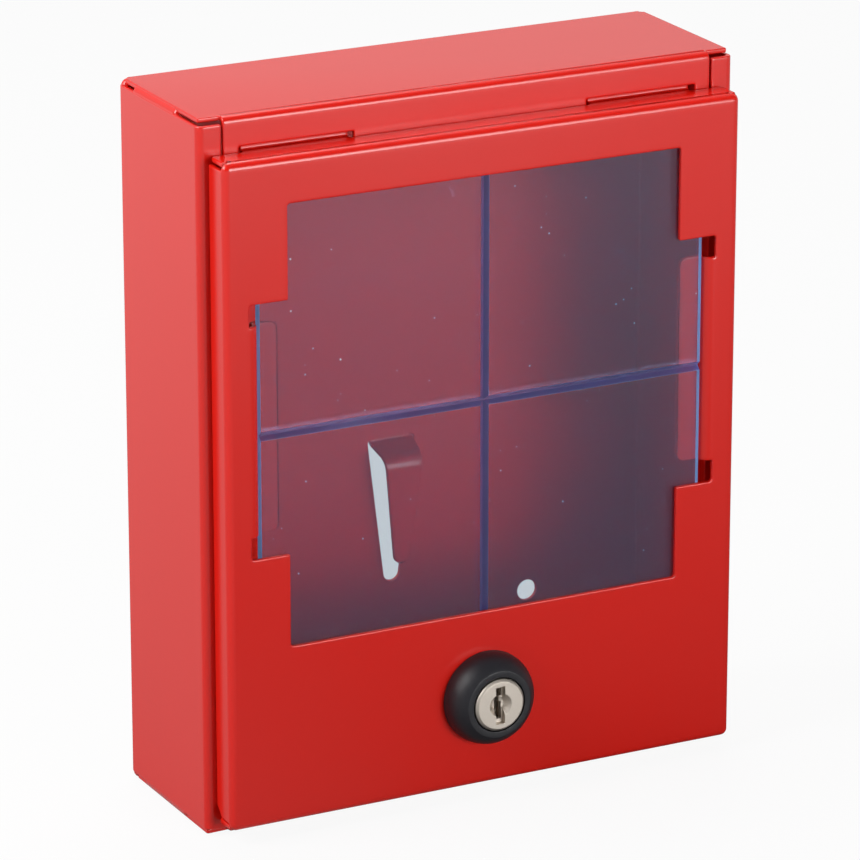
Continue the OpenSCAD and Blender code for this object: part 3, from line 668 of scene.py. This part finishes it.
# A triangle wave that climbs one pitch in a turn, made steeper so that its crests and roots are flat
wave = np.abs(((y_thread[:, None] / pitch - angle / (2 * np.pi)) % 1.0) - 0.5) * 2
thread = thread_r - thread_depth * np.clip(wave * 1.3 - 0.15, 0, 1)
head_y = head_low[1]
rows_y = np.r_[head_y, head_y, thread_start, thread_start, y_thread, thread_end, thread_end, head_y]
one = np.ones(turns + 1)
before_thread = [r * one for r in (inside_r, head_r, head_r, neck_r)]
after_thread = [r * one for r in (end_r, inside_r, inside_r)]
rows_r = np.vstack([*before_thread, thread, *after_thread])
rows_r[3:] = np.minimum(rows_r[3:], flat_r / np.maximum(abs(np.cos(angle)), 1e-6))
in_notch = (rows_y[:, None] > thread_end - notch_depth) & (abs(angle - np.pi / 2) < notch_half)
rows_r = np.where(in_notch, np.minimum(rows_r, notch_r), rows_r)
round_part("threaded_barrel", rows_y, rows_r, "door", "zinc", ["lock_housing"])
print("barrel rows:", len(rows_y))

# %% Fixing nut
nut_low, nut_high = box_mm("lock_nut")
nut_flat = (nut_high[2] - nut_low[2]) / 2
six = nut_flat / np.cos(angle % (np.pi / 3) - np.pi / 6)
nut_y = np.linspace(nut_low[1], nut_high[1], 13)
from_face = np.minimum(nut_y - nut_low[1], nut_high[1] - nut_y)
nut_bore, face_rim, chamfer_slope = 7.9, 0.1, 1.9
six_r = np.minimum(six, (nut_flat + face_rim + from_face * chamfer_slope)[:, None])
nut_rows_y = np.r_[nut_low[1], nut_y, nut_high[1]]
nut_rows_r = np.vstack([nut_bore * one, six_r, nut_bore * one])
round_part("fixing_nut", nut_rows_y, nut_rows_r, "door", "zinc", ["lock_nut"], closed=True)
print("nut: %.1f mm across its flats" % (2 * nut_flat))

# %% Copies of stamped and cast parts with softened edges
def softened(node, name, body, slot, radius):
    """A merged copy of a CAD node whose flat faces are whole again, with every sharp edge rounded."""
    mesh = nodes[node].data.copy()
    mesh.name = name
    bm = bmesh.new()
    bm.from_mesh(mesh)
    bmesh.ops.remove_doubles(bm, verts=bm.verts, dist=1e-6)
    bmesh.ops.dissolve_limit(bm, angle_limit=math.radians(0.5), verts=bm.verts, edges=bm.edges)
    bm.to_mesh(mesh)
    bm.free()
    if "custom_normal" in mesh.attributes:
        mesh.attributes.remove(mesh.attributes["custom_normal"])
    mesh.shade_smooth()
    mesh.materials.clear()
    obj = bpy.data.objects.new(name, mesh)
    bpy.context.scene.collection.objects.link(obj)
    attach(obj, body)
    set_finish(obj, slot)
    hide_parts(node)
    return finish_edges(obj, radius, 2, 40)


soft_parts = [
    ("lock_core", "plated_core", "lock_core", "nickel", 0.07),
    ("cam", "cranked_cam", "lock_core", "zinc_steel", 0.15),
    ("stop_disc", "stop_washer", "lock_core", "zinc_steel", 0.1),
    ("tooth_washer", "toothed_washer", "door", "spring_steel", 0.1),
    ("cam_washer", "split_washer", "lock_core", "spring_steel", 0.1),
    ("cam_screw", "cross_screw", "lock_core", "zinc_steel", 0.15),
]
for soft_part in soft_parts:
    print("softened:", softened(*soft_part).name)

# %% [markdown]
# ## Finishes
# A finish is a Principled shader with detail on every socket that the eye reads: colour, roughness and a
# bump for the grain.
# Effects that several finishes share are node groups: the orange peel of a sprayed or moulded skin, fine
# handling marks, and dust.
# They put out masks and heights only, so each material keeps its own shader and its own strengths.

# %% Helpers for node trees
def put(tree, kind, feeds=None, **settings):
    """Adds a node. Settings are its properties, and feeds its inputs: a value or a driving socket."""
    node = tree.nodes.new("ShaderNode" + kind)
    for name, value in settings.items():
        setattr(node, name, value)
    for key, value in (feeds or {}).items():
        if isinstance(value, bpy.types.NodeSocket):
            tree.links.new(value, node.inputs[key])
        else:
            node.inputs[key].default_value = value
    return node


def math_node(tree, operation, *values, clamp=False):
    """One sum, product or comparison of two or three values."""
    return put(tree, "Math", dict(enumerate(values)), operation=operation, use_clamp=clamp).outputs[0]


def mixed(tree, amount, first, second):
    """A colour between two others."""
    return put(tree, "Mix", {0: amount, 6: first, 7: second}, data_type="RGBA").outputs[2]


def noise(tree, place, scale, detail):
    """The grey value of a cloudy texture with so many cells to the metre."""
    return put(tree, "TexNoise", {"Vector": place, "Scale": scale, "Detail": detail}).outputs["Fac"]


def bumped(tree, strength, distance, height):
    """The normal that a height gives to a surface. The distance is in metres."""
    return put(tree, "Bump", {"Strength": strength, "Distance": distance, "Height": height}).outputs["Normal"]


def per_metre(tree, size):
    """Cells to the metre from the size of one in millimetres: a thousand divided by the size."""
    return math_node(tree, "DIVIDE", 1000.0, size)


def new_group(name, inputs, outputs):
    """An empty shader group with named number or vector sockets."""
    tree = bpy.data.node_groups.new(name, "ShaderNodeTree")
    for label, kind, value in inputs:
        socket = tree.interface.new_socket(name=label, in_out="INPUT", socket_type="NodeSocket" + kind)
        if value is not None:
            socket.default_value = value
    for label, kind in outputs:
        tree.interface.new_socket(name=label, in_out="OUTPUT", socket_type="NodeSocket" + kind)
    return tree, tree.nodes.new("NodeGroupInput"), tree.nodes.new("NodeGroupOutput")


def new_material(name):
    """A material with an empty tree, its output, and the object's own coordinates."""
    material = bpy.data.materials.new(name)
    material.use_nodes = True
    tree = material.node_tree
    tree.nodes.clear()
    out = tree.nodes.new("ShaderNodeOutputMaterial")
    place = put(tree, "TexCoord").outputs["Object"]
    return material, tree, out, place


def grouped(tree, group, **feeds):
    """One use of a shader group with its inputs set by name."""
    node = tree.nodes.new("ShaderNodeGroup")
    node.node_tree = group
    for key, value in feeds.items():
        socket = node.inputs[key.replace("_", " ").capitalize()]
        if isinstance(value, bpy.types.NodeSocket):
            tree.links.new(value, socket)
        else:
            socket.default_value = value
    return node


def dressed(obj, *materials):
    """Gives a piece its finishes in place of those it has."""
    obj.data.materials.clear()
    for material in materials:
        obj.data.materials.append(material)


# %% Group: orange peel
peel_inputs = [
    ("Place", "Vector", None),
    ("Ripple size", "Float", 1.6),
    ("Grain size", "Float", 0.35),
    ("Grain share", "Float", 0.25),
]
peel, peel_in, peel_out = new_group("orange_peel", peel_inputs, [("Height", "Float"), ("Cloud", "Float")])
peel_place = peel_in.outputs["Place"]
ripple = noise(peel, peel_place, per_metre(peel, peel_in.outputs["Ripple size"]), 1.5)
grain = noise(peel, peel_place, per_metre(peel, peel_in.outputs["Grain size"]), 2.0)
cloud = noise(peel, peel_place, 28.0, 3.0)
shared = math_node(peel, "MULTIPLY", grain, peel_in.outputs["Grain share"])
peel.links.new(math_node(peel, "ADD", ripple, shared), peel_out.inputs["Height"])
peel.links.new(cloud, peel_out.inputs["Cloud"])
print("group:", peel.name)

# %% Group: dust and handling marks
marks_inputs = [
    ("Place", "Vector", None),
    ("Speck size", "Float", 1.5),
    ("Speck amount", "Float", 0.12),
    ("Line size", "Float", 6.0),
]
marks_outputs = [("Specks", "Float"), ("Lines", "Float")]
marks, marks_in, marks_out = new_group("dust_and_marks", marks_inputs, marks_outputs)
marks_place = marks_in.outputs["Place"]
speck_scale = per_metre(marks, marks_in.outputs["Speck size"])
cells = put(marks, "TexVoronoi", {"Vector": marks_place, "Scale": speck_scale, "Randomness": 1.0})
chance = put(marks, "SeparateColor", {"Color": cells.outputs["Color"]}).outputs["Red"]
picked = math_node(marks, "LESS_THAN", chance, marks_in.outputs["Speck amount"])
speck_r = math_node(marks, "MULTIPLY", chance, 0.9)
speck = math_node(marks, "LESS_THAN", cells.outputs["Distance"], math_node(marks, "ADD", speck_r, 0.04))
marks.links.new(math_node(marks, "MULTIPLY", picked, speck), marks_out.inputs["Specks"])
bent = noise(marks, marks_place, per_metre(marks, marks_in.outputs["Line size"]), 0.5)
ridge = math_node(marks, "ABSOLUTE", math_node(marks, "SUBTRACT", bent, 0.5))
thin = math_node(marks, "LESS_THAN", ridge, 0.0016)
partly = math_node(marks, "GREATER_THAN", noise(marks, marks_place, 70.0, 2.0), 0.6)
marks.links.new(math_node(marks, "MULTIPLY", thin, partly), marks_out.inputs["Lines"])
print("group:", marks.name)

# %% [markdown]
# ## Red powder coat
# Powder coat is baked on as one thick glossy skin, with a shallow orange peel and now and then a nib of
# dust under it.
# A car paint shader would give it flakes and a deep clear coat, which it hasn't got, so this is one layer
# with a light coat for the gloss.
# The bump is far below a tenth of a millimetre, because the peel shows only in the reflections.

# %% Powder coat
red_paint, tree, out, place = new_material("red_powder_coat")
skin = grouped(tree, peel, Place=place, Ripple_size=2.2, Grain_size=0.5, Grain_share=0.2)
nibs = grouped(tree, marks, Place=place, Speck_size=4.0, Speck_amount=0.05, Line_size=14.0)
colour = mixed(tree, skin.outputs["Cloud"], (0.67, 0.008, 0.003, 1), (0.63, 0.010, 0.004, 1))
rough = math_node(tree, "MULTIPLY_ADD", skin.outputs["Cloud"], 0.06, 0.21)
height = math_node(tree, "MULTIPLY_ADD", nibs.outputs["Specks"], 1.2, skin.outputs["Height"])
paint = {
    "Base Color": colour,
    "Roughness": rough,
    "Normal": bumped(tree, 0.35, 0.000025, height),
    "IOR": 1.5,
    "Coat Weight": 0.12,
    "Coat Roughness": 0.08,
}
tree.links.new(put(tree, "BsdfPrincipled", paint).outputs[0], out.inputs["Surface"])
for obj in (case, welds, door):
    dressed(obj, red_paint)

# %% [markdown]
# ## Clear acrylic
# Clear acrylic is mostly what lies behind it: a little of the room reflected, a faint blue in the
# thickness, dust and hairlines on the skin.
# The light that reaches the inside of the box passes as shadow rays, so those rays see a plain
# transparent sheet.
# The milled grooves and sawn rims are the same plastic with a matt skin that scatters the light and shows
# blue, and the sawn rims also carry a painted glow: an emission that stands in for light piped along the
# sheet.

# %% Acrylic finishes
dust_colour = (0.75, 0.78, 0.80, 1)
passing_colour = (0.72, 0.76, 0.79, 1)


def acrylic(name, tint, roughness, frost, frost_and_glow_colour, bump_height, painted_glow=0.0):
    """Clear plastic under a share of matt skin: that share is frost, plus half a speck and 0.08 of a line.

    The painted glow is an emission on the matt skin that stands in for light the sheet gathers and lets out
    at its rims.
    """
    material, tree, out, place = new_material(name)
    skin = grouped(tree, peel, Place=place, Ripple_size=0.9, Grain_size=0.15, Grain_share=0.8)
    dirt = grouped(tree, marks, Place=place, Speck_size=1.8, Speck_amount=0.08, Line_size=9.0)
    smear = math_node(tree, "MULTIPLY_ADD", skin.outputs["Cloud"], 0.02, roughness)
    bump = bumped(tree, 0.4, bump_height, skin.outputs["Height"])
    clear_body = {"Base Color": tint, "Roughness": smear, "Normal": bump}
    clear_body |= {"IOR": 1.49, "Transmission Weight": 1.0}
    glass = put(tree, "BsdfPrincipled", clear_body)
    film_and_glow_colour = mixed(tree, dirt.outputs["Specks"], frost_and_glow_colour, dust_colour)
    matt_skin = {"Base Color": film_and_glow_colour, "Roughness": 0.55, "Normal": bump}
    # Painted glow: this emission makes the matt skin shine on its own, standing in for light the sheet pipes
    # to its rims
    matt_skin |= {"Emission Color": film_and_glow_colour, "Emission Strength": painted_glow}
    film = put(tree, "BsdfPrincipled", matt_skin)
    dust = math_node(tree, "MULTIPLY_ADD", dirt.outputs["Specks"], 0.5, frost)
    dust = math_node(tree, "MULTIPLY_ADD", dirt.outputs["Lines"], 0.08, dust, clamp=True)
    body = put(tree, "MixShader", {0: dust, 1: glass.outputs[0], 2: film.outputs[0]}).outputs[0]
    passing = put(tree, "BsdfTransparent", {"Color": passing_colour}).outputs[0]
    shadow = put(tree, "LightPath").outputs["Is Shadow Ray"]
    whole = put(tree, "MixShader", {0: shadow, 1: body, 2: passing}).outputs[0]
    tree.links.new(whole, out.inputs["Surface"])
    return material


clear = acrylic("clear_acrylic_face", (0.60, 0.67, 0.70, 1), 0.01, 0.045, (0.50, 0.46, 0.86, 1), 0.0000001)
milled = acrylic("milled_acrylic", (0.16, 0.22, 0.60, 1), 0.35, 0.34, (0.09, 0.11, 0.36, 1), 0.00005)
# The sawn rims' bright blue film colour is partly real frost and partly painted glow, and their last value is
# the painted glow's emission strength
sawn = acrylic("sawn_acrylic", (0.55, 0.78, 1.0, 1), 0.45, 0.70, (0.18, 0.48, 1.0, 1), 0.00006, 0.28)
dressed(pane, clear, milled, sawn)
pane.data.polygons.foreach_set("material_index", pane_finish.astype(np.int32))
pane.data.update()

# %% [markdown]
# ## Metals and moulded plastic
# The rosette is black plastic with the fine spark texture of its mould, which turns a lamp into a soft
# grey sheen.
# Plated parts differ mainly in how they were made before plating: the core's face is turned, the cam is
# stamped, the barrel is cast.
# So each metal has its own colour, roughness and marks, and all take their grain from the same group.

# %% Plain finishes
def simple_finish(name, colour, second, roughness, ripple_size, grain_size, bump_height, metallic=1.0):
    """A metal or plastic whose colour drifts between two tones, with grain in its bump and roughness."""
    material, tree, out, place = new_material(name)
    skin = grouped(tree, peel, Place=place, Ripple_size=ripple_size, Grain_size=grain_size, Grain_share=0.7)
    dirt = grouped(tree, marks, Place=place, Speck_size=1.1, Speck_amount=0.03, Line_size=3.0)
    tone = mixed(tree, skin.outputs["Cloud"], (*colour, 1), (*second, 1))
    tone = mixed(tree, dirt.outputs["Specks"], tone, (*[c * 0.6 for c in colour], 1))
    rough = math_node(tree, "MULTIPLY_ADD", skin.outputs["Height"], 0.18, roughness)
    rough = math_node(tree, "MULTIPLY_ADD", dirt.outputs["Lines"], 0.2, rough)
    bump = bumped(tree, 0.5, bump_height, skin.outputs["Height"])
    surface = {"Base Color": tone, "Roughness": rough, "Normal": bump, "Metallic": metallic}
    tree.links.new(put(tree, "BsdfPrincipled", surface).outputs[0], out.inputs["Surface"])
    return material


finishes = {
    "black_plastic": simple_finish(
        "moulded_black", (0.007, 0.007, 0.010), (0.012, 0.012, 0.017),
        roughness=0.31, ripple_size=0.8, grain_size=0.22, bump_height=0.00005, metallic=0.0,
    ),
    "nickel": simple_finish(
        "satin_nickel", (0.72, 0.65, 0.575), (0.64, 0.58, 0.51),
        roughness=0.36, ripple_size=0.6, grain_size=0.12, bump_height=0.000012,
    ),
    "zinc": simple_finish(
        "cast_zinc", (0.50, 0.50, 0.51), (0.42, 0.42, 0.43),
        roughness=0.36, ripple_size=0.5, grain_size=0.12, bump_height=0.00003,
    ),
    "zinc_steel": simple_finish(
        "bright_zinc_plate", (0.62, 0.63, 0.66), (0.54, 0.55, 0.57),
        roughness=0.26, ripple_size=0.7, grain_size=0.15, bump_height=0.00001,
    ),
    "spring_steel": simple_finish(
        "spring_steel", (0.42, 0.42, 0.44), (0.34, 0.34, 0.35),
        roughness=0.30, ripple_size=0.5, grain_size=0.1, bump_height=0.000008,
    ),
    "wafer_brass": simple_finish(
        "stamped_brass", (0.30, 0.20, 0.09), (0.22, 0.14, 0.06),
        roughness=0.42, ripple_size=0.5, grain_size=0.1, bump_height=0.00001,
    ),
}
cad_slots = {part["node"]: part.get("material_slot") for part in frame["record"]["subparts"]}
for obj in bpy.data.objects:
    slot = obj.get("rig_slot") or cad_slots.get(obj.name)
    if obj.type == "MESH" and slot in finishes:
        dressed(obj, finishes[slot])
print("finishes:", sorted(finishes))

# %% [markdown]
# ## Camera
# The photograph was taken from the left of the box and a little above it, with a long lens.
# The camera's place, direction and focal length were solved from the corners of the case and the door,
# which sit at known places in the frame.

# %% Camera
camera = bpy.data.objects.new("camera", bpy.data.cameras.new("camera"))
bpy.context.scene.collection.objects.link(camera)
yaw, pitch = math.radians(27.30), math.radians(18.62)
focal_pixels, picture_pixels, sensor = 5432.8, 860, 36
looking = Vector((math.sin(yaw) * math.cos(pitch), math.cos(yaw) * math.cos(pitch), -math.sin(pitch)))
camera.location = (-0.4853, -0.9597, 0.3538)
camera.rotation_mode = "QUATERNION"
camera.rotation_quaternion = looking.to_track_quat("-Z", "Y")
camera.data.sensor_width = sensor
camera.data.lens = sensor * focal_pixels / picture_pixels
camera.data.clip_start, camera.data.clip_end = 0.01, 50
bpy.context.scene.camera = camera
print("lens %.0f mm" % camera.data.lens)

# %% [markdown]
# ## Floor and light
# The box stands on a pale floor in a white room. Three soft boxes light it: one in front, one high on its
# left, and one high behind it.
# The front one has a grid and aims at the top of the door, so that the light falls off down the box, as
# it does on the real one.
# To the camera the floor and the room are nearly white, so that only a soft shadow is left on them.
# The glossy paint mirrors the floor, whose look in reflections is painted: painted shade close in front of
# the box, a little brighter to its left, and white farther off.

# %% Helpers for floor and room
def seen_directly(tree, path):
    """1 for a camera ray, also behind the pane, as long as no surface has bounced it."""
    bounced = math_node(tree, "ADD", path.outputs["Diffuse Depth"], path.outputs["Glossy Depth"])
    straight = math_node(tree, "LESS_THAN", bounced, 0.5)
    passed = math_node(tree, "MULTIPLY", path.outputs["Is Transmission Ray"], straight)
    return math_node(tree, "MAXIMUM", path.outputs["Is Camera Ray"], passed)


def smooth_ramp(tree, value, starts, ends, low, high):
    """A smooth step from low to high while the value goes from starts to ends."""
    feeds = {"Value": value, "From Min": starts, "From Max": ends, "To Min": low, "To Max": high}
    return put(tree, "MapRange", feeds, interpolation_type="SMOOTHSTEP").outputs[0]


# %% Floor
floor_z = case_low.z - 0.0002
reach = 4.0
floor_mesh = bpy.data.meshes.new("floor")
floor_corners = [(-reach, -reach), (reach, -reach), (reach, reach), (-reach, reach)]
floor_mesh.from_pydata([(x, y, floor_z) for x, y in floor_corners], [], [(0, 1, 2, 3)])
floor = bpy.data.objects.new("floor", floor_mesh)
bpy.context.scene.collection.objects.link(floor)
floor_finish, tree, out, place = new_material("pale_floor")
matt = put(tree, "BsdfPrincipled", {"Base Color": (0.30, 0.30, 0.30, 1), "Roughness": 0.9}).outputs[0]
bright = put(tree, "Emission", {"Color": (1, 1, 1, 1), "Strength": 1.08}).outputs[0]
path = put(tree, "LightPath")
# Painted reflection: to glossy rays the floor is a near-black diffuse plus an emission that grows with the
# distance from the box and towards its left, which paints the shade in front of the box
flat_place = put(tree, "VectorMath", {0: place, 1: (1, 1, 0)}, operation="MULTIPLY").outputs[0]
far = put(tree, "VectorMath", {0: flat_place}, operation="LENGTH").outputs["Value"]
left = smooth_ramp(tree, put(tree, "SeparateXYZ", {0: place}).outputs["X"], 0.03, -0.09, 0.0, 0.34)
painted_floor_reflection = math_node(tree, "MULTIPLY_ADD", far, 0.85, left, clamp=True)
seen = math_node(tree, "MULTIPLY", seen_directly(tree, path), 0.86)
seen = math_node(tree, "MAXIMUM", seen, math_node(tree, "MULTIPLY", path.outputs["Is Glossy Ray"], painted_floor_reflection))
painted_dark_floor = put(tree, "BsdfDiffuse", {"Color": (0.03, 0.03, 0.03, 1)}).outputs[0]
under_gloss = put(tree, "MixShader", {0: path.outputs["Is Glossy Ray"], 1: matt, 2: painted_dark_floor}).outputs[0]
lit = put(tree, "MixShader", {0: seen, 1: under_gloss, 2: bright}).outputs[0]
below = put(tree, "NewGeometry").outputs["Backfacing"]
clear_below = put(tree, "BsdfTransparent").outputs[0]
one_sided = put(tree, "MixShader", {0: below, 1: lit, 2: clear_below}).outputs[0]
tree.links.new(one_sided, out.inputs["Surface"])
floor.data.materials.append(floor_finish)

# %% World
world = bpy.data.worlds.new("white room")
bpy.context.scene.world = world
world.use_nodes = True
tree = world.node_tree
tree.nodes.clear()
out = tree.nodes.new("ShaderNodeOutputWorld")
path = put(tree, "LightPath")
direction = put(tree, "SeparateXYZ", {0: put(tree, "TexCoord").outputs["Generated"]})
back_wall = smooth_ramp(tree, direction.outputs["Y"], -0.5, 0.4, 0.12, 0.68)
in_gloss = math_node(tree, "MULTIPLY", path.outputs["Is Glossy Ray"], back_wall)
strength = math_node(tree, "MAXIMUM", seen_directly(tree, path), in_gloss)
strength = math_node(tree, "MAXIMUM", strength, math_node(tree, "MULTIPLY", back_wall, 0.5))
room = put(tree, "Background", {"Color": (1, 1, 1, 1), "Strength": strength}).outputs[0]
tree.links.new(room, out.inputs["Surface"])

# %% Lamps
def lamp(name, place, aim, size, watts, spread=180):
    """A square soft box in metres and watts, turned to its aim, that the camera doesn't see.

    A spread below 180 degrees is a grid on it.
    """
    data = bpy.data.lights.new(name, "AREA")
    data.size, data.energy, data.spread = size, watts, math.radians(spread)
    obj = bpy.data.objects.new(name, data)
    bpy.context.scene.collection.objects.link(obj)
    obj.location = place
    obj.rotation_mode = "QUATERNION"
    obj.rotation_quaternion = (Vector(aim) - Vector(place)).to_track_quat("-Z", "Y")
    obj.visible_camera = False


lamp("front_box", (0.23, -0.79, 0.17), (0, -0.044, 0.112), 0.46, 0.67, 50)
lamp("left_box", (-0.75, 0.0, 0.55), (0, 0, 0), 0.6, 9.2)
lamp("top_box", (0.1, 0.35, 0.9), (0, 0, 0.07), 0.5, 4.2)
bpy.context.scene.view_settings.view_transform = "Standard"
